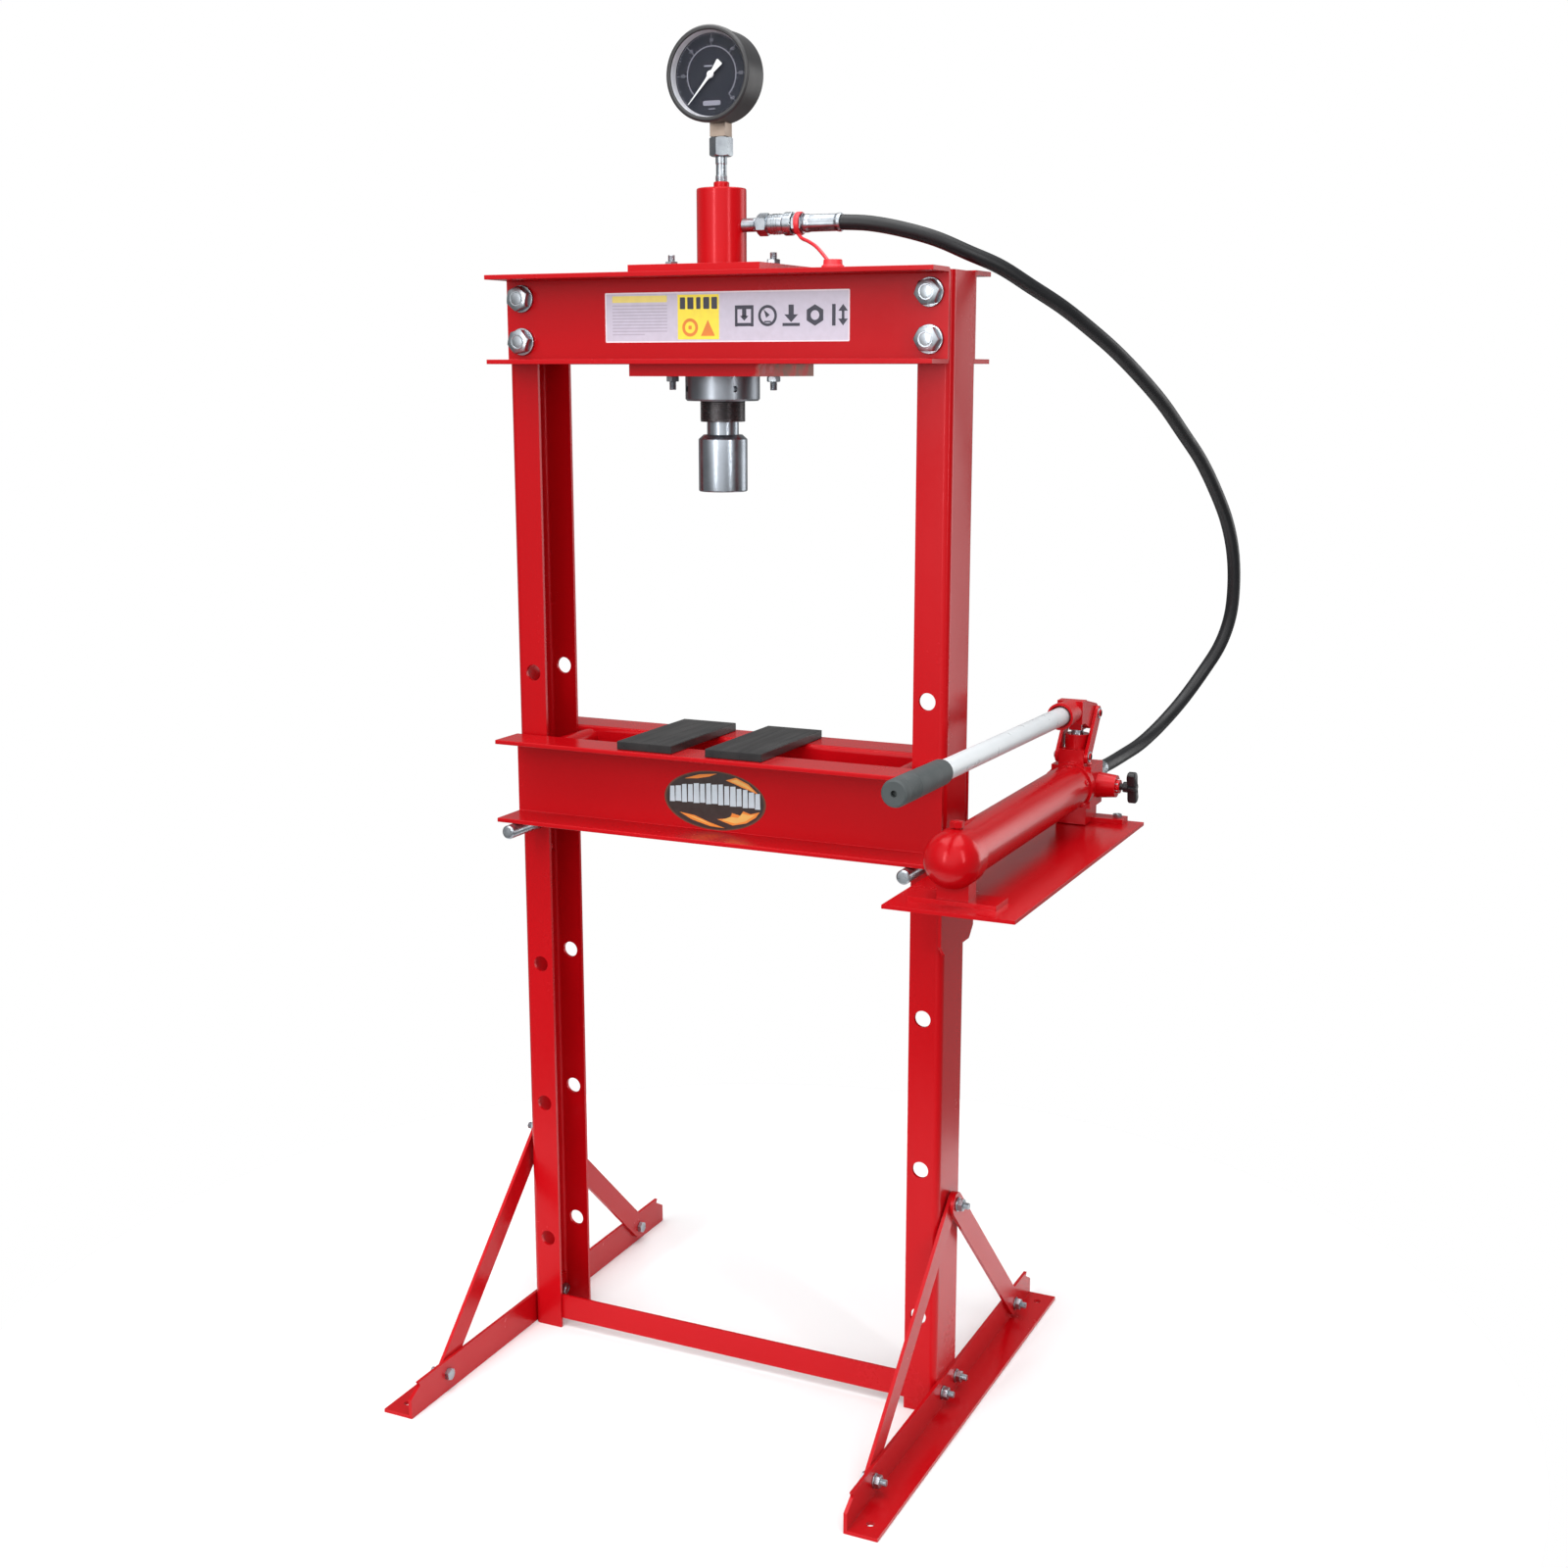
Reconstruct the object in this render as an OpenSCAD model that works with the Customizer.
// Hydraulic shop press with a hand pump, a gauge and a hose.
// Millimetres, +Z up, +X towards the pump, -Y towards the operator.
// The origin is on the floor, midway between the four holes in the feet.

/* [Frame] */
// Width over the outer faces of the two posts
frame_w = 534; // [500:1:560]
// Height of the top of the head beam
beam_top = 1270; // [1200:1:1340]
// Depth of a post, over its flanges
post_depth = 72; // [68:1:80]
// Width of a post's flanges
post_flange = 38; // [36:1:44]
// Thickness of the post's plate
post_t = 4; // [3:0.5:5]
// Height of a head beam channel
beam_h = 96; // [90:1:110]
// Length of the head beam channels
beam_len = 528; // [520:1:540]
// Width of the head beam's flanges
beam_flange = 50; // [44:1:56]
// Plate thickness of the beam and bed channels
channel_t = 5; // [4:0.5:6]

/* [Bed] */
// Length of the bed channels
bed_len = 532; // [524:1:532]
// Height of the bed channels
bed_h = 97; // [90:1:110]
// Width of the bed channels' flanges
bed_flange = 52; // [44:1:56]
// Distance between two heights of the bed
hole_pitch = 176.5; // [160:0.5:180]
// Height of the lowest hole in the posts
first_hole = 116.5; // [112:0.5:140]
// Radius of the bed holes
hole_r = 9.5; // [9:0.25:10.5]
// Radius of a bed pin
pin_r = 8; // [7:0.25:8.5]
// Width of an arbor plate
plate_w = 69; // [60:1:76]
// Length of an arbor plate
plate_l = 162; // [150:1:176]
// Thickness of an arbor plate
plate_t = 9.5; // [8:0.5:14]

/* [Feet] */
// Length of a foot
foot_len = 596; // [560:1:620]
// Width of a foot angle's legs
foot_leg = 38; // [36:1:44]
// Radius of the holes in the feet
foot_hole_r = 4.5; // [4:0.5:6]
// Height of the bolt that the two braces share
brace_top = 244; // [220:1:260]
// Width of a brace
brace_w = 28; // [24:1:32]

/* [Cylinder] */
// Sideways place of the ram
ram_x = -14; // [-30:1:30]
// Outer radius of the cylinder
cyl_r = 27; // [25:0.5:30]
// Height of the cylinder's top
cyl_top = 1359; // [1340:1:1380]
// Radius of the piston rod
rod_r = 17.5; // [15:0.5:18]
// Radius of the press head
head_r = 27; // [24:0.5:30]
// Lowest face of the press head
head_low = 1036; // [1020:1:1050]

/* [Gauge] */
// Outer radius of the gauge
gauge_r = 49; // [46:1:52]
// Height of the gauge's centre
gauge_z = 1473; // [1466:1:1480]

/* [Pump] */
// Sideways place of the pump's axis
pump_x = 332; // [328:1:338]
// Height of the pump's axis
pump_z = 693; // [690:0.5:696]
// Top face of the tray
tray_top = 646; // [640:1:650]
// Outer radius of the pump's reservoir
tank_r = 26.5; // [24:0.5:27]
// Outer radius of the handle's tube
bar_r = 10.5; // [9:0.25:11]
// Radius of the handle's grip
grip_r = 13.5; // [12.5:0.5:16]

/* [Hidden] */
$fn = 48;

red = [0.72, 0.05, 0.08];
zinc = [0.72, 0.73, 0.75];
steel = [0.62, 0.63, 0.65];
black = [0.05, 0.05, 0.06];
eps = 0.01;
big = 2000;

// Frame
web_x = frame_w / 2;
post_top = beam_top - 2;
post_y = post_depth / 2;
hole_x = web_x - 22;
hole_count = 5;
bolt_x = web_x - 23;
bolt_z = beam_top - beam_h / 2;
bolt_rise = 23.5;
big_bolt_r = 8;
big_hex = 24;
small_bolt_r = 4;
small_hex = 13;

// Bed
bed_hole = 3;
slack = 0.4;
pin_z = first_hole + bed_hole * hole_pitch - hole_r + pin_r + slack;
bed_low = pin_z + pin_r + slack;
bed_high = bed_low + bed_h;
bed_y = post_y + 1;
pin_len = 200;
spacer_x = web_x - post_flange - 15;
spacer_r = 11;
spacer_low = bed_low + 20;
spacer_high = bed_high - 14;
plate_x = [-74.5, 36.5];

// Feet
foot_t = 4;
foot_bolt_z = 21;
foot_bolt_y = 21.6;
brace_y = 225;
foot_hole_x = web_x + 21;
foot_hole_y = 276;
foot_clip = 13;
brace_t = 4;
bar_h = 31;
bar_low = 11;
bar_t = 3.2;
bar_leg = 60;

// Head
upper_t = 8;
lower_t = 13;
clamp_l = 157;
clamp_w = 138;
stud_x = 62;
stud_r = 4;
lower_face = beam_top - beam_h - lower_t;
ring_low = lower_face - 26.5;
thread_r = 25.4;
thread_low = 1112;
bore_r = 20;
bore_top = cyl_top - 14;
rod_bore = 10.5;
piston_low = 1289;
piston_top = 1311;
rod_foot = head_low + 40;
port_z = 1320;

// Gauge
gauge_front = -33;
gauge_back = 8;
needle_y = -25;
needle_rest = 222;

// Coupler, along +X at the height of the port
coupler_x = ram_x + 45;
collar_x = coupler_x + 31;
sleeve_x = collar_x + 10;
hose_r = 8;
hose_sides = 12;
// Route of the hose's centre line, from the cylinder down to the pump
hose_route = [
    [128, 0, 1320], [158, 2, 1318], [190, 10, 1312], [224, 24, 1302], [254, 42, 1288],
    [282, 64, 1274], [308, 92, 1254], [332, 124, 1234], [352, 160, 1212], [370, 202, 1188],
    [386, 250, 1160], [400, 300, 1130], [412, 350, 1096], [424, 396, 1062], [434, 436, 1024],
    [442, 468, 986], [446, 492, 946], [446, 506, 904], [442, 512, 864], [432, 508, 828],
    [416, 496, 796], [396, 470, 760], [378, 434, 732], [364, 394, 714], [354, 354, 706],
    [348, 316, 702], [346, 284, 702]];

// Pump
tray_x = 140;
tray_front = -213;
tray_rear = 260;
tray_t = 4;
tray_drop = 100;
tray_tab = 51;
tray_bolt_z = tray_top - 46;
tray_hole_x = 46;
tray_hole_y = 248;
cap_y = -184;
cap_r = 30;
head_front = 198;
head_rear = 256;
head_ring_r = 29;
barrel_y = 229;
barrel_r = 14;
barrel_top = 752;
plunger_r = 7;
fit = 0.05;
// Places of the links' two pins, and of the plunger's pin, in the YZ plane
link_low = [214, 728];
link_high = [250, 774];
link_w = 17;
crank = 21.5;
crank_drop = 20;
crank_y = link_high[0] - crank * cos(crank_drop);
crank_z = link_high[1] - crank * sin(crank_drop);
cheek = 15.2;
handle_z = 781;
handle_tilt = 0.9;
link_r = 4;
valve_y = 242;
valve_z = 690;
valve_r = 4;
boss_end = pump_x + 46;
knob_turn = -15;
socket_front = 158;
socket_rear = 214;
socket_depth = 34;
mouth_r = 12.8;
bar_front = -337;
grip_rear = -222;
grip_front = -345;

// ---- Shapes that repeat ----

module along_x() { rotate([0, 90, 0]) children(); }
module along_y() { rotate([-90, 0, 0]) children(); }

// A plate outline with the two corners at x = 0 rounded
module bent_outline(w, h, r) {
    translate([0, r]) square([w, h - 2 * r]);
    translate([r, 0]) square([w - r, h]);
    translate([r, r]) circle(r);
    translate([r, h - r]) circle(r);
}

// A channel section: web at x = 0, flanges towards +x, height along y
module channel_section(w, h, t, r) {
    difference() {
        bent_outline(w, h, r);
        translate([t, t]) bent_outline(w, h - 2 * t, max(r - t, 1));
    }
}

// A channel along X: web towards the posts, flanges towards +Y
module channel_along_x(len, w, h, t, r) {
    translate([-len / 2, 0, 0]) rotate([90, 0, 90])
        linear_extrude(len) channel_section(w, h, t, r);
}

module hexagon(af, h) {
    cylinder(r = af / 2 / cos(30), h = h, $fn = 6);
}

// A hexagon bolt along +Z: the head's bearing face is at z = 0, the head below it
module bolt(r, len, af) {
    translate([0, 0, -r * 1.25]) hexagon(af, r * 1.25);
    translate([0, 0, -eps]) cylinder(r = r, h = len);
}

module nut(r, af) {
    difference() {
        hexagon(af, r * 1.5);
        translate([0, 0, -1]) cylinder(r = r + fit, h = r * 3);
    }
}

module washer(r, outer, t) {
    difference() {
        cylinder(r = outer, h = t);
        translate([0, 0, -1]) cylinder(r = r + fit, h = t + 2);
    }
}

// A ring about Z
module ring(outer, inner, h) {
    difference() {
        cylinder(r = outer, h = h);
        translate([0, 0, -1]) cylinder(r = inner, h = h + 2);
    }
}

// A flat bar with round ends between two points in the YZ plane, thick along +X
module flat_bar(y1, z1, y2, z2, r, t) {
    len = sqrt(pow(y2 - y1, 2) + pow(z2 - z1, 2));
    tilt = atan2(z2 - z1, y2 - y1);
    translate([0, y1, z1]) rotate([tilt, 0, 0]) {
        along_x() cylinder(r = r, h = t);
        translate([0, 0, -r]) cube([t, len, 2 * r]);
        translate([0, len, 0]) along_x() cylinder(r = r, h = t);
    }
}

// Turns what is made for the right-hand side half round to the left
module half_turn() { rotate([0, 0, 180]) children(); }

// Runs its children at the four beam bolts on the front side
module beam_bolt_places() {
    for (sx = [-1, 1], sz = [-1, 1])
        translate([sx * bolt_x, 0, bolt_z + sz * bolt_rise]) children();
}

// ---- Frame ----

module post_shape() {
    difference() {
        translate([web_x, -post_y, 0]) mirror([1, 0, 0])
            linear_extrude(post_top) channel_section(post_flange, post_depth, post_t, 8);
        for (k = [0 : hole_count - 1])
            translate([hole_x, -big / 2, first_hole + k * hole_pitch])
                along_y() cylinder(r = hole_r, h = big);
        for (s = [-1, 1])
            translate([bolt_x, -big / 2, bolt_z + s * bolt_rise])
                along_y() cylinder(r = big_bolt_r + fit, h = big);
        for (p = [[-foot_bolt_y, foot_bolt_z], [foot_bolt_y, foot_bolt_z], [0, brace_top],
                  [-foot_bolt_y, tray_bolt_z], [foot_bolt_y, tray_bolt_z]])
            translate([web_x - 20, p[0], p[1]])
                along_x() cylinder(r = small_bolt_r + fit, h = 40);
    }
}

module post_left() { color(red) half_turn() post_shape(); }
module post_right() { color(red) post_shape(); }

module beam_shape() {
    difference() {
        translate([0, post_y, beam_top - beam_h])
            channel_along_x(beam_len, beam_flange, beam_h, channel_t, 6);
        beam_bolt_places()
            translate([0, post_y - 1, 0]) along_y() cylinder(r = big_bolt_r + fit, h = 20);
    }
}

module beam_rear() { color(red) beam_shape(); }
module beam_front() { color(red) mirror([0, 1, 0]) beam_shape(); }

module clamp_plate(t) {
    difference() {
        translate([ram_x - clamp_l / 2, -clamp_w / 2, 0]) cube([clamp_l, clamp_w, t]);
        translate([ram_x, 0, -1]) cylinder(r = cyl_r + fit, h = t + 2);
        for (s = [-1, 1])
            translate([ram_x + s * stud_x, 0, -1]) cylinder(r = stud_r + fit, h = t + 2);
    }
}

module upper_plate() { color(red) translate([0, 0, beam_top]) clamp_plate(upper_t); }
module lower_plate() { color(red) translate([0, 0, lower_face]) clamp_plate(lower_t); }

module tie_studs() {
    color(zinc) for (s = [-1, 1])
        translate([ram_x + s * stud_x, 0, lower_face - 15])
            cylinder(r = stud_r, h = beam_top + upper_t - lower_face + 28);
}

module stud_nuts() {
    color(zinc) for (s = [-1, 1]) translate([ram_x + s * stud_x, 0, 0]) {
        translate([0, 0, beam_top + upper_t]) nut(stud_r, small_hex);
        translate([0, 0, lower_face - stud_r * 1.5]) nut(stud_r, small_hex);
    }
}

module beam_bolts() {
    color(zinc) for (side = [0, 1]) mirror([0, side, 0]) beam_bolt_places()
        translate([0, -post_y - channel_t - 3, 0]) along_y() {
            bolt(big_bolt_r, 30, big_hex);
            washer(big_bolt_r - fit, 15, 3);
        }
}

module beam_nuts() {
    color(zinc) for (side = [0, 1]) mirror([0, side, 0]) beam_bolt_places()
        translate([0, -post_y + post_t, 0]) along_y() nut(big_bolt_r, big_hex);
}

// ---- Feet and braces ----

module foot_shape() {
    difference() {
        translate([web_x, -foot_len / 2, 0]) cube([foot_leg, foot_len, foot_leg]);
        translate([web_x + foot_t, -foot_len, foot_t]) cube([foot_leg, 2 * foot_len, foot_leg]);
        for (s = [-1, 1]) {
            translate([web_x - 1, s * foot_len / 2, foot_leg]) rotate([s * 60, 0, 0])
                translate([0, -foot_clip, -foot_clip]) cube([foot_t + 2, 2 * foot_clip, 2 * foot_clip]);
            translate([foot_hole_x, s * foot_hole_y, -1]) cylinder(r = foot_hole_r, h = 10);
        }
        for (y = [-foot_bolt_y, foot_bolt_y, -brace_y, brace_y])
            translate([web_x - 1, y, foot_bolt_z]) along_x() cylinder(r = small_bolt_r + fit, h = 12);
    }
}

module foot_left() { color(red) half_turn() foot_shape(); }
module foot_right() { color(red) foot_shape(); }

// The front brace leans from the foot's inner face to the post's outer face, and the rear
// brace leans over it: each starts at its x from the web and leans by its angle
front_brace = [-brace_t - 0.6, 1.6];
rear_brace = [foot_t + 0.2, 0.48];

// One brace, from its foot bolt at -Y up to the shared bolt
module brace_shape() {
    difference() {
        flat_bar(-brace_y, foot_bolt_z, 0, brace_top, brace_w / 2, brace_t);
        translate([-1, -brace_y, foot_bolt_z]) along_x() cylinder(r = small_bolt_r + 0.5, h = 9);
        translate([-1, 0, brace_top]) along_x() cylinder(r = small_bolt_r + 0.5, h = 9);
    }
}

module leaning(brace) {
    translate([web_x + brace[0], 0, foot_bolt_z]) rotate([0, brace[1], 0])
        translate([0, 0, -foot_bolt_z]) children();
}

module brace_pair() {
    leaning(front_brace) brace_shape();
    leaning(rear_brace) mirror([0, 1, 0]) brace_shape();
}

module braces_left() { color(red) half_turn() brace_pair(); }
module braces_right() { color(red) brace_pair(); }

module lower_crossbar() {
    inner = web_x - post_t - 0.1;
    color(red) difference() {
        translate([inner, -post_y + post_t + 0.1, bar_low]) rotate([0, 0, 90])
            linear_extrude(bar_h) channel_section(bar_leg, 2 * inner, bar_t, 4.2);
        for (s = [-1, 1])
            translate([-big / 2, s * foot_bolt_y, foot_bolt_z])
                along_x() cylinder(r = small_bolt_r + fit, h = big);
    }
}

// Each bolt of one foot: its place, the inner face that its head bears on and the outer face
// under its nut. The front brace lies inside the foot and the rear brace outside it.
foot_joints = [
    [-foot_bolt_y, foot_bolt_z, -post_t - bar_t - 0.2, foot_t],
    [foot_bolt_y, foot_bolt_z, -post_t - bar_t - 0.2, foot_t],
    [-brace_y, foot_bolt_z, front_brace[0] - 0.3, foot_t],
    [brace_y, foot_bolt_z, -0.1, foot_t + brace_t + 0.3],
    [0, brace_top, -post_t - 0.1, foot_t + brace_t + 2.3]];
washer_t = 1.6;
thread_end = 14;

module foot_bolt_set() {
    for (j = foot_joints) translate([web_x + j[2], j[0], j[1]])
        along_x() bolt(small_bolt_r, j[3] - j[2] + thread_end, small_hex);
}

module foot_nut_set() {
    for (j = foot_joints) translate([web_x + j[3] + 0.1, j[0], j[1]]) along_x() {
        washer(small_bolt_r, 8, washer_t);
        translate([0, 0, washer_t]) nut(small_bolt_r, small_hex);
    }
}

module foot_bolts() {
    color(zinc) foot_bolt_set();
    color(zinc) half_turn() foot_bolt_set();
}

module foot_nuts() {
    color(zinc) foot_nut_set();
    color(zinc) half_turn() foot_nut_set();
}

// ---- Bed ----

module bed_channel() {
    translate([0, bed_y, bed_low]) channel_along_x(bed_len, bed_flange, bed_h, channel_t, 6);
}

module bed_channel_rear() { color(red) bed_channel(); }
module bed_channel_front() { color(red) mirror([0, 1, 0]) bed_channel(); }

// Tubes welded between the two channels, beside the posts
module bed_spacers() {
    color(red) for (sx = [-1, 1], z = [spacer_low, spacer_high])
        translate([sx * spacer_x, -bed_y, z]) along_y() ring(spacer_r, spacer_r - 3, 2 * bed_y);
}

// Oval plate on the front of the bed
module bed_badge() {
    badge = [for (a = [0 : 6 : 354]) [64 * cos(a), 34 * sin(a)]];
    color([0.8, 0.75, 0.5]) translate([-6, -bed_y - channel_t, bed_low + 40])
        rotate([90, 0, 0]) linear_extrude(0.5) polygon(badge);
}

module bed_pin(x) {
    color(zinc) translate([x, -pin_len / 2, pin_z]) along_y() {
        cylinder(r1 = pin_r - 1.5, r2 = pin_r, h = 1.5);
        translate([0, 0, 1.5]) cylinder(r = pin_r, h = pin_len - 3);
        translate([0, 0, pin_len - 1.5]) cylinder(r1 = pin_r, r2 = pin_r - 1.5, h = 1.5);
    }
}

module bed_pin_left() { bed_pin(-hole_x); }
module bed_pin_right() { bed_pin(hole_x); }

module arbor_plate(x) {
    color(black) translate([x - plate_w / 2, -plate_l / 2, bed_high + 0.1])
        cube([plate_w, plate_l, plate_t]);
}

module arbor_plate_left() { arbor_plate(plate_x[0]); }
module arbor_plate_right() { arbor_plate(plate_x[1]); }

// ---- Cylinder ----

module cylinder_tube() {
    color(red) translate([ram_x, 0, 0]) difference() {
        union() {
            translate([0, 0, lower_face]) cylinder(r = cyl_r, h = cyl_top - lower_face - 3);
            translate([0, 0, cyl_top - 3]) cylinder(r1 = cyl_r, r2 = cyl_r - 3, h = 3);
            translate([0, 0, thread_low]) cylinder(r = thread_r, h = lower_face - thread_low + 1);
            translate([0, 0, cyl_top - 1]) cylinder(r = 8.5, h = 8);
        }
        translate([0, 0, thread_low - 1]) cylinder(r = bore_r, h = bore_top - thread_low + 1);
        translate([0, 0, bore_top - 1]) cylinder(r = 4.5, h = 60);
        translate([0, 0, port_z]) along_x() cylinder(r = 4.5, h = 60);
    }
}

module rod_gland() {
    color(steel) translate([ram_x, 0, thread_low + 2]) ring(bore_r - fit, rod_r + fit, 34);
}

module cylinder_ring_nut() {
    color(steel) translate([ram_x, 0, ring_low]) difference() {
        union() {
            cylinder(r1 = 39, r2 = 41, h = 2);
            translate([0, 0, 2]) cylinder(r = 41, h = lower_face - ring_low - 2);
        }
        translate([0, 0, -1]) cylinder(r = thread_r + fit, h = 60);
        for (a = [45 : 90 : 315]) rotate([0, 0, a])
            translate([35, 0, 13]) along_x() cylinder(r = 3.5, h = 10);
    }
}

module piston() {
    color(steel) translate([ram_x, 0, piston_low]) difference() {
        cylinder(r = bore_r - fit, h = piston_top - piston_low);
        translate([0, 0, 8]) ring(bore_r + 2, bore_r - 3, 6);
        translate([0, 0, -1]) cylinder(r = rod_bore, h = 40);
    }
}

module piston_seal() {
    color(black) translate([ram_x, 0, piston_low + 8.2]) ring(bore_r - fit, bore_r - 3 + fit, 5.6);
}

module piston_rod() {
    color(steel) translate([ram_x, 0, rod_foot]) difference() {
        cylinder(r = rod_r, h = piston_low - rod_foot);
        translate([0, 0, 14]) cylinder(r = rod_bore, h = 400);
    }
}

module press_head() {
    color(steel) translate([ram_x, 0, head_low]) difference() {
        union() {
            cylinder(r1 = head_r - 2, r2 = head_r, h = 2);
            translate([0, 0, 2]) cylinder(r = head_r, h = 58);
            translate([0, 0, 60]) cylinder(r1 = head_r, r2 = head_r - 2, h = 2);
        }
        translate([0, 0, rod_foot - head_low]) cylinder(r = rod_r + fit, h = 60);
    }
}

// A tension spring, from the rod's foot to the cylinder's top
spring_low = rod_foot + 15;
spring_high = bore_top - 1;
spring_turns = 26;
spring_steps = 10;
wire_r = 1.5;
wire_sides = 6;
coil_r = 8;

function spring_point(k) = let (a = 360 * k / spring_steps,
    z = spring_low + wire_r + (spring_high - spring_low - 2 * wire_r) * k / (spring_turns * spring_steps))
    [coil_r * cos(a), coil_r * sin(a), z];

module return_spring() {
    color(steel) translate([ram_x, 0, 0])
        tube([for (k = [0 : spring_turns * spring_steps]) spring_point(k)], wire_r, wire_sides);
}

// ---- Label and gauge ----

module beam_label() {
    color([0.78, 0.78, 0.84]) translate([-137, -post_y - channel_t - 0.4, beam_top - 73])
        cube([292, 0.4, 53]);
}

module gauge_adapter() {
    color(zinc) translate([ram_x, 0, cyl_top + 7]) ring(6.2, 2, 26);
}

module gauge_nut() {
    color(zinc) translate([ram_x, 0, cyl_top + 33]) difference() {
        hexagon(22, 20);
        translate([0, 0, -1]) cylinder(r = 2, h = 30);
    }
}

module gauge_case() {
    color(black) translate([ram_x, 0, gauge_z]) difference() {
        union() {
            translate([0, gauge_front + 3, 0]) along_y()
                cylinder(r = gauge_r - 1, h = gauge_back - gauge_front - 5);
            translate([0, gauge_back - 2, 0]) along_y() cylinder(r1 = gauge_r - 1, r2 = gauge_r - 3, h = 2);
            translate([0, gauge_front, 0]) along_y() cylinder(r = gauge_r, h = 6);
            translate([-9, -9, cyl_top + 53 - gauge_z]) cube([18, 17, 25]);
        }
        translate([0, gauge_front + 2, 0]) along_y()
            cylinder(r = gauge_r - 4, h = gauge_back - gauge_front - 4);
        translate([0, gauge_front - 1, 0]) along_y() cylinder(r = gauge_r - 5.5, h = 5);
    }
}

module gauge_bourdon_tube() {
    color([0.75, 0.6, 0.3]) translate([ram_x, -8, gauge_z]) rotate([90, 120, 0])
        rotate_extrude(angle = 260) translate([32, 0]) circle(4);
}

module gauge_dial() {
    color([0.06, 0.07, 0.1]) translate([ram_x, -21.5, gauge_z]) along_y()
        ring(gauge_r - 4.2, 2, 1.2);
}

// Made pointing up, then turned to its zero at the lower left
module gauge_needle() {
    color("white") translate([ram_x, 0, gauge_z]) rotate([0, needle_rest, 0]) {
        translate([0, needle_y - 1, 0]) rotate([90, 0, 0]) translate([0, 0, -1])
            linear_extrude(1)
                polygon([[-3.9, -16.5], [3.9, -16.5], [1.8, 6], [0.5, 39], [-0.5, 39], [-1.8, 6]]);
        translate([0, needle_y - 1.5, 0]) along_y() cylinder(r = 4, h = 3);
        translate([0, needle_y + 1, 0]) along_y() cylinder(r = 1.5, h = 6);
    }
}

module gauge_lens() {
    color([0.8, 0.85, 0.9, 0.3]) translate([ram_x, gauge_front + 2.2, gauge_z]) along_y()
        cylinder(r = gauge_r - 4.2, h = 2);
}

// ---- Coupler and hose ----

module hose_coupler() {
    color(zinc) translate([0, 0, port_z]) difference() {
        union() {
            translate([ram_x + cyl_r - 1, 0, 0]) along_x() cylinder(r = 6.4, h = 20);
            translate([coupler_x, 0, 0]) along_x() hexagon(21, 12);
            translate([coupler_x + 11, 0, 0]) along_x() cylinder(r = 10.5, h = 19.8);
        }
        translate([-20, 0, 0]) along_x() cylinder(r = 3, h = 100);
        translate([ram_x, 0, -20]) cylinder(r = cyl_r, h = 40);
    }
}

module coupler_collar() {
    color(zinc) translate([collar_x, 0, port_z]) along_x() difference() {
        cylinder(r = 12.3, h = 9.8);
        translate([0, 0, -1]) cylinder(r = 7, h = 20);
    }
}

module hose_end_top() {
    color(zinc) translate([0, 0, port_z]) along_x() {
        translate([0, 0, collar_x]) ring(6.9, 3, sleeve_x - collar_x + 1);
        translate([0, 0, sleeve_x]) difference() {
            cylinder(r = 9.8, h = hose_route[0][0] - sleeve_x);
            translate([0, 0, -1]) cylinder(r = 3, h = 100);
        }
    }
}

// Cap on a moulded strap that rings the hose end and lies on the head beam
cap_place = [143, -58, beam_top];
strap_route = [[79, -4, 1309], [86, -10, 1304], [98, -20, 1300], [112, -32, 1294], [124, -42, 1286],
    [137, -53, 1276]];

module dust_cap() {
    color(red) {
        translate([76, 0, port_z]) along_x() ring(12.2, 9.9, 6);
        tube(strap_route, 2, 8);
        translate(cap_place) cylinder(r = 10, h = 9);
        translate(cap_place) cylinder(r = 12, h = 3);
    }
}

// Unit direction at point k of a path
function path_dir(path, k) = let (a = path[max(k - 1, 0)], b = path[min(k + 1, len(path) - 1)],
    d = b - a) d / norm(d);

// Two directions across a path that never runs along the fixed reference
function across(d) = let (ref = abs(d[2]) > 0.9 ? [0, 1, 0] : [0, 0, 1], s = cross(ref, d),
    u = s / norm(s)) [u, cross(d, u)];

// Carries the first direction along the path so that the rings don't twist
function carried(path, k, u) = k >= len(path) ? [] :
    let (d = path_dir(path, k), w = u - d * (u * d), v = w / norm(w))
    concat([[v, cross(d, v)]], carried(path, k + 1, v));

module tube(path, r, sides) {
    n = len(path);
    frames = carried(path, 0, across(path_dir(path, 0))[0]);
    points = [for (k = [0 : n - 1], i = [0 : sides - 1]) let (a = 360 * i / sides)
        path[k] + r * cos(a) * frames[k][0] + r * sin(a) * frames[k][1]];
    walls = [for (k = [0 : n - 2], i = [0 : sides - 1]) let (j = (i + 1) % sides)
        [k * sides + i, (k + 1) * sides + i, (k + 1) * sides + j, k * sides + j]];
    start = [[for (i = [0 : sides - 1]) i]];
    finish = [[for (i = [sides - 1 : -1 : 0]) (n - 1) * sides + i]];
    polyhedron(points, concat(walls, start, finish), convexity = 10);
}

module hose() { color(black) tube(hose_route, hose_r, hose_sides); }

module hose_end_pump() {
    color(zinc) translate([346, head_rear, 702]) along_y() {
        hexagon(20, 12);
        translate([0, 0, 11]) cylinder(r = 9.8, h = 17);
    }
}

// ---- Pump ----

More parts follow.
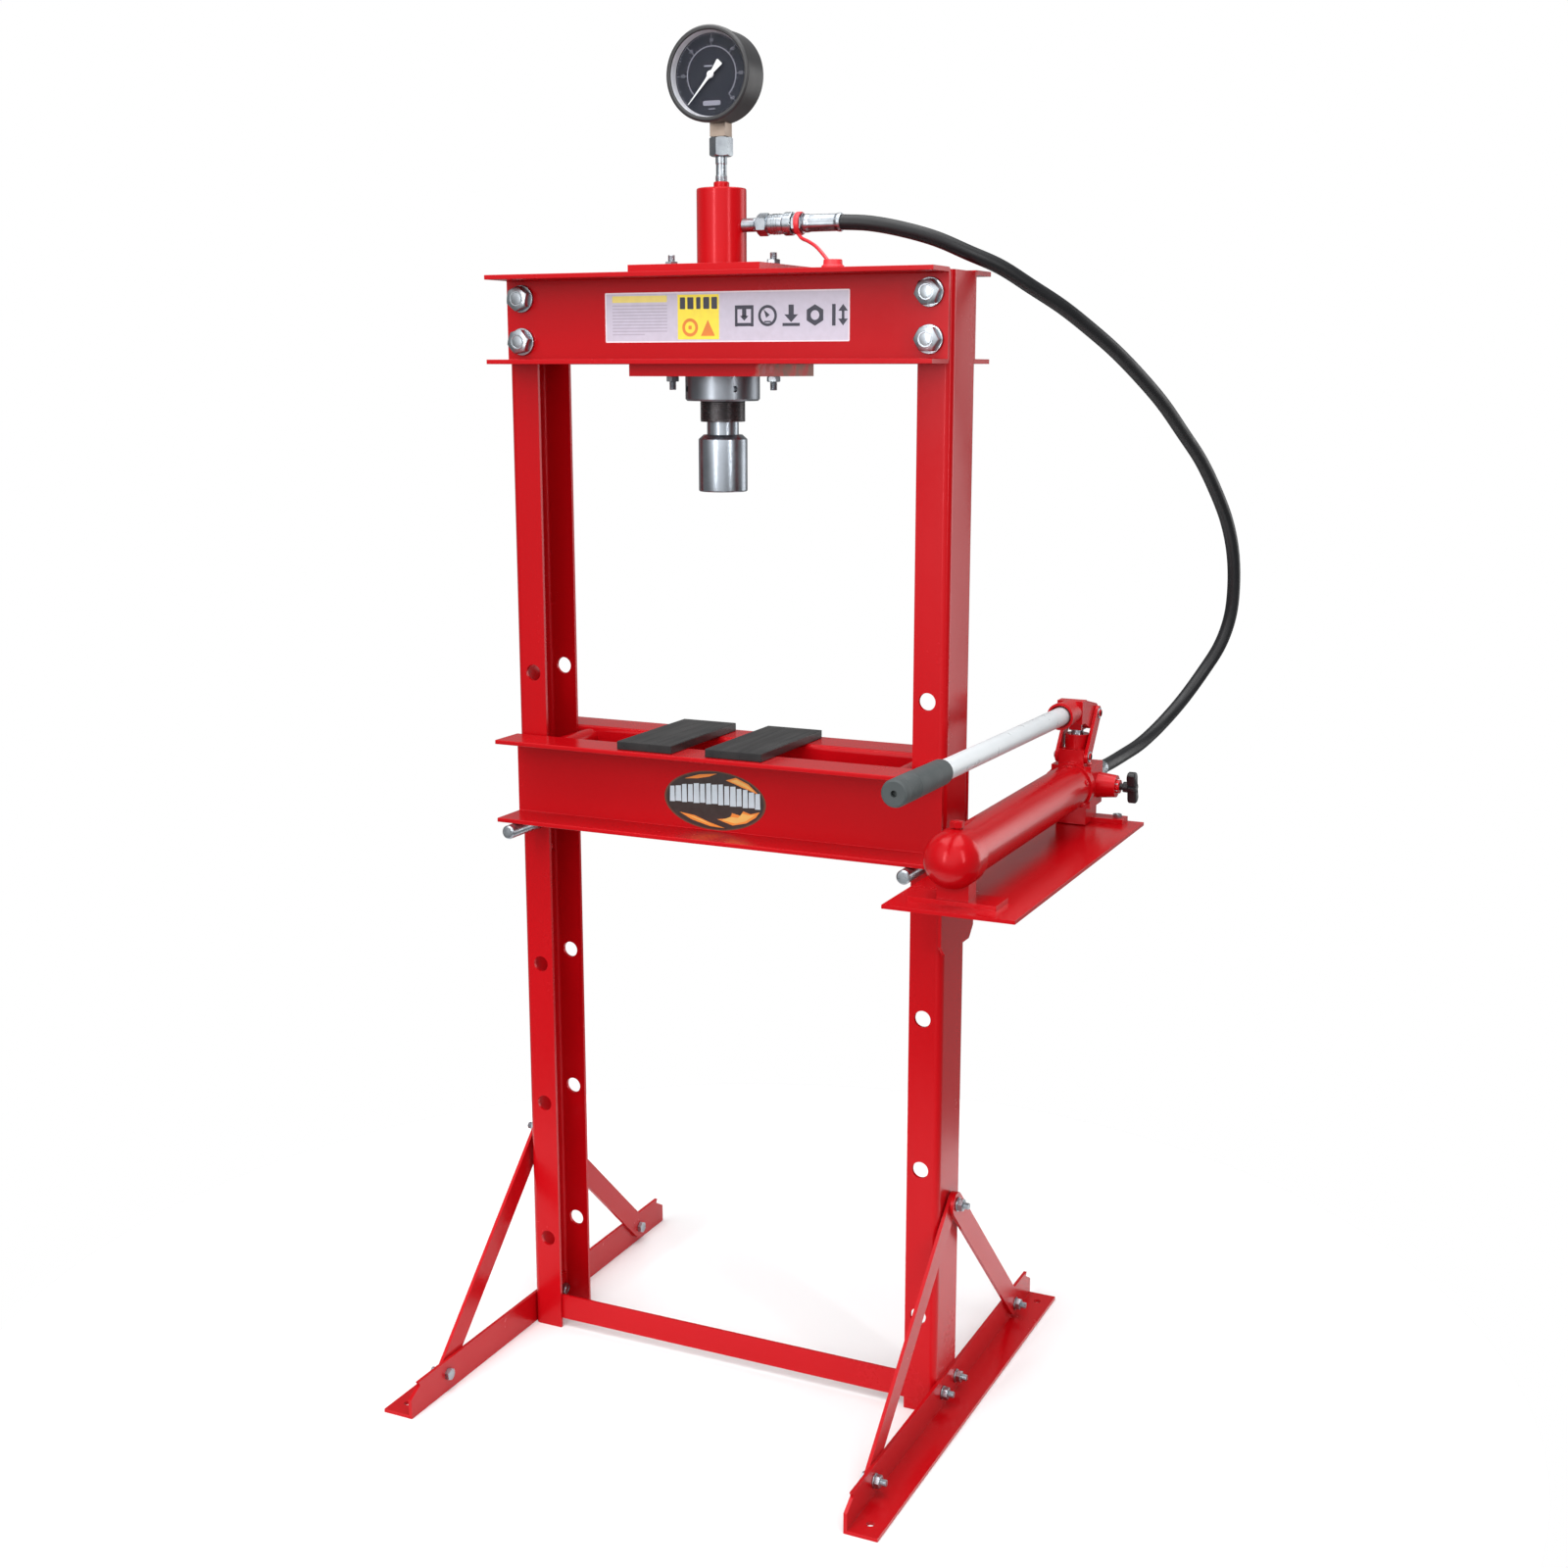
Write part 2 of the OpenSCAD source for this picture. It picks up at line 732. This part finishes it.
module pump_tray() {
    color(red) difference() {
        union() {
            translate([web_x, tray_front, tray_top - tray_t])
                cube([tray_x, tray_rear - tray_front, tray_t]);
            translate([web_x, -tray_tab, tray_top - tray_drop])
                cube([tray_t, 2 * tray_tab, tray_drop]);
        }
        for (s = [-1, 1]) {
            translate([web_x - 1, s * tray_tab, tray_top - tray_drop]) rotate([45, 0, 0])
                translate([0, -9, -9]) cube([tray_t + 2, 18, 18]);
            translate([web_x - 1, s * foot_bolt_y, tray_bolt_z])
                along_x() cylinder(r = small_bolt_r + fit, h = 12);
            translate([pump_x + s * tray_hole_x, tray_hole_y, tray_top - 10])
                cylinder(r = 3 + fit, h = 20);
        }
    }
}

module tray_bolts() {
    color(zinc) for (s = [-1, 1]) {
        translate([web_x + tray_t, s * foot_bolt_y, tray_bolt_z])
            rotate([0, -90, 0]) bolt(small_bolt_r, 18, small_hex);
        translate([web_x - post_t, s * foot_bolt_y, tray_bolt_z])
            rotate([0, -90, 0]) nut(small_bolt_r, small_hex);
        translate([pump_x + s * tray_hole_x, tray_hole_y, tray_top + 6])
            rotate([180, 0, 0]) bolt(3, 20, 10);
        translate([pump_x + s * tray_hole_x, tray_hole_y, tray_top - tray_t])
            rotate([180, 0, 0]) nut(3, 10);
    }
}

module pump_tank() {
    color(red) translate([pump_x, cap_y + 12, pump_z]) along_y()
        ring(tank_r, tank_r - 2.5, head_front - cap_y - 12 + 6);
}

module pump_end_cap() {
    color(red) difference() {
        union() {
            translate([pump_x, cap_y, pump_z]) along_y()
                rotate_extrude() intersection() {
                    circle(cap_r);
                    translate([0, -cap_r]) square([cap_r, 2 * cap_r]);
                }
            translate([pump_x, cap_y, pump_z]) along_y() cylinder(r = cap_r, h = 18);
            translate([pump_x - 17, cap_y - 1, tray_top + 1]) cube([34, 22, 26]);
            translate([pump_x - 47, cap_y - 4, tray_top]) cube([94, 36, 5]);
        }
        translate([pump_x, cap_y, pump_z]) along_y() cylinder(r = tank_r + fit, h = 60);
        translate([pump_x, cap_y + 1, pump_z]) sphere(r = cap_r - 6);
        translate([pump_x, cap_y + 9, pump_z + 20]) cylinder(r = 5 + fit, h = 20);
    }
}

module pump_head() {
    color(red) difference() {
        union() {
            translate([pump_x, head_front, pump_z]) along_y() cylinder(r = head_ring_r, h = 12);
            translate([pump_x - 24, head_front + 10, pump_z - 26])
                cube([48, head_rear - head_front - 10, 50]);
            translate([pump_x, barrel_y, pump_z]) cylinder(r = barrel_r, h = barrel_top - pump_z);
            translate([pump_x, barrel_y, pump_z + 20]) cylinder(r1 = 21, r2 = cheek, h = 10);
            translate([pump_x - cheek, link_low[0] - 8, pump_z + 20])
                cube([2 * cheek, barrel_y - link_low[0], link_low[1] - pump_z - 12]);
            translate([pump_x + 22, valve_y, valve_z]) along_x() cylinder(r1 = 15.5, r2 = 13, h = 24);
            translate([boss_end - 1, valve_y, valve_z]) along_x() cylinder(r = 8, h = 5);
            translate([pump_x - 18, head_front + 14, tray_top + 1]) cube([36, 44, 24]);
            translate([pump_x - 56, head_rear - 22, tray_top]) cube([112, 24, 6]);
        }
        translate([pump_x, head_front - 1, pump_z]) along_y() cylinder(r = tank_r + fit, h = 7);
        translate([pump_x, barrel_y, pump_z + 8]) cylinder(r = plunger_r + fit, h = 80);
        translate([pump_x + 12, valve_y, valve_z]) along_x() cylinder(r = valve_r + fit, h = 60);
        translate([pump_x - 30, link_low[0], link_low[1]]) along_x() cylinder(r = link_r + fit, h = 60);
        for (s = [-1, 1])
            translate([pump_x + s * tray_hole_x, tray_hole_y, tray_top - 10])
                cylinder(r = 3 + fit, h = 20);
    }
}

module filler_plug() {
    color(red) translate([pump_x, cap_y + 9, 0]) {
        translate([0, 0, pump_z + 27]) cylinder(r = 5, h = 6);
        translate([0, 0, pump_z + cap_r + 0.6]) hexagon(13, 7);
    }
}

module release_valve() {
    color(black) translate([0, valve_y, valve_z]) along_x() {
        translate([0, 0, pump_x + 14]) cylinder(r = valve_r, h = boss_end - pump_x + 1);
        translate([0, 0, boss_end + 13]) linear_extrude(11) rotate(knob_turn) {
            for (s = [-1, 1]) translate([s * 13.5, 0]) circle(6);
            square([27, 9], center = true);
            circle(7);
        }
        translate([0, 0, boss_end + 7]) cylinder(r = 6.5, h = 7);
    }
}

module pump_plunger() {
    color(steel) difference() {
        union() {
            translate([pump_x, barrel_y, pump_z + 12]) cylinder(r = plunger_r, h = crank_z - pump_z - 20);
            translate([pump_x - 8, barrel_y - 9, crank_z - 10]) cube([16, 18, 20]);
        }
        translate([pump_x - 20, barrel_y, crank_z]) along_x() cylinder(r = link_r + 1.4, h = 40);
    }
}

module fulcrum_links() {
    color(red) for (s = [0, 1]) translate([pump_x, 0, 0]) mirror([s, 0, 0]) difference() {
        translate([cheek + 0.3, 0, 0])
            flat_bar(link_low[0], link_low[1], link_high[0], link_high[1], link_w / 2, 4);
        for (p = [link_low, link_high])
            translate([cheek - 1, p[0], p[1]]) along_x() cylinder(r = link_r + fit, h = 8);
    }
    color(zinc) for (p = [link_low, link_high])
        translate([pump_x - 22, p[0], p[1]]) along_x() cylinder(r = link_r, h = 44);
}

// The handle stands a little above the horizontal, turned about the links' upper pin
module handle_tilted() {
    translate([0, link_high[0], link_high[1]]) rotate([-handle_tilt, 0, 0])
        translate([0, -link_high[0], -link_high[1]]) children();
}

// Side of the fork in the YZ plane: from the socket to the links' pin, with the crank below it
module fork_outline() {
    polygon([[socket_rear - 6, handle_z + 14], [link_high[0] + 3, link_high[1] + 11],
        [link_high[0] + 6, link_high[1]], [link_high[0], link_high[1] - 11],
        [crank_y, crank_z - 8], [socket_rear - 6, handle_z - 13]]);
    translate(link_high) circle(11);
    translate([crank_y, crank_z]) circle(8);
}

module handle_socket() {
    color(red) difference() {
        union() {
            handle_tilted() translate([pump_x, socket_front, handle_z]) along_y()
                cylinder(r = 14.5, h = socket_rear - socket_front - 12);
            handle_tilted() translate([pump_x, socket_front, handle_z]) along_y()
                cylinder(r = 15.5, h = 8);
            translate([pump_x - cheek, socket_rear - 18, handle_z - 13]) cube([2 * cheek, 16, 27]);
            for (x = [9, -cheek]) translate([pump_x + x, 0, 0]) rotate([90, 0, 90])
                linear_extrude(cheek - 9) fork_outline();
        }
        handle_tilted() translate([pump_x, socket_front - 1, handle_z]) along_y() {
            cylinder(r = bar_r + fit, h = socket_depth + 1);
            cylinder(r = mouth_r, h = 8);
        }
        translate([pump_x - 30, link_high[0], link_high[1]]) along_x()
            cylinder(r = link_r + fit, h = 60);
    }
    color(zinc) translate([pump_x - cheek, crank_y, crank_z]) along_x()
        cylinder(r = link_r, h = 2 * cheek);
}

module handle_bar() {
    color([0.85, 0.86, 0.88]) handle_tilted() translate([pump_x, bar_front, handle_z]) along_y()
        ring(bar_r, bar_r - 1.5, socket_front + socket_depth - 0.5 - bar_front);
}

module handle_grip() {
    grip_len = grip_rear - grip_front;
    color([0.22, 0.23, 0.24]) handle_tilted() translate([pump_x, grip_front, handle_z]) along_y()
        difference() {
            union() {
                cylinder(r1 = grip_r - 2, r2 = grip_r, h = 3);
                translate([0, 0, 3]) cylinder(r = grip_r, h = grip_len - 6);
                translate([0, 0, grip_len - 3]) cylinder(r1 = grip_r, r2 = grip_r - 2.5, h = 3);
            }
            translate([0, 0, bar_front - grip_front]) cylinder(r = bar_r, h = grip_len);
            translate([0, 0, -1]) cylinder(r = 3, h = 20);
        }
}

post_left();
post_right();
beam_front();
beam_rear();
upper_plate();
lower_plate();
tie_studs();
stud_nuts();
beam_bolts();
beam_nuts();
foot_left();
foot_right();
braces_left();
braces_right();
lower_crossbar();
foot_bolts();
foot_nuts();
bed_channel_front();
bed_channel_rear();
bed_spacers();
bed_badge();
bed_pin_left();
bed_pin_right();
arbor_plate_left();
arbor_plate_right();
cylinder_tube();
rod_gland();
cylinder_ring_nut();
piston();
piston_seal();
piston_rod();
press_head();
return_spring();
beam_label();
gauge_adapter();
gauge_nut();
gauge_case();
gauge_bourdon_tube();
gauge_dial();
gauge_needle();
gauge_lens();
hose_coupler();
coupler_collar();
hose_end_top();
dust_cap();
hose();
hose_end_pump();
pump_tray();
tray_bolts();
pump_tank();
pump_end_cap();
pump_head();
filler_plug();
release_valve();
pump_plunger();
fulcrum_links();
handle_socket();
handle_bar();
handle_grip();
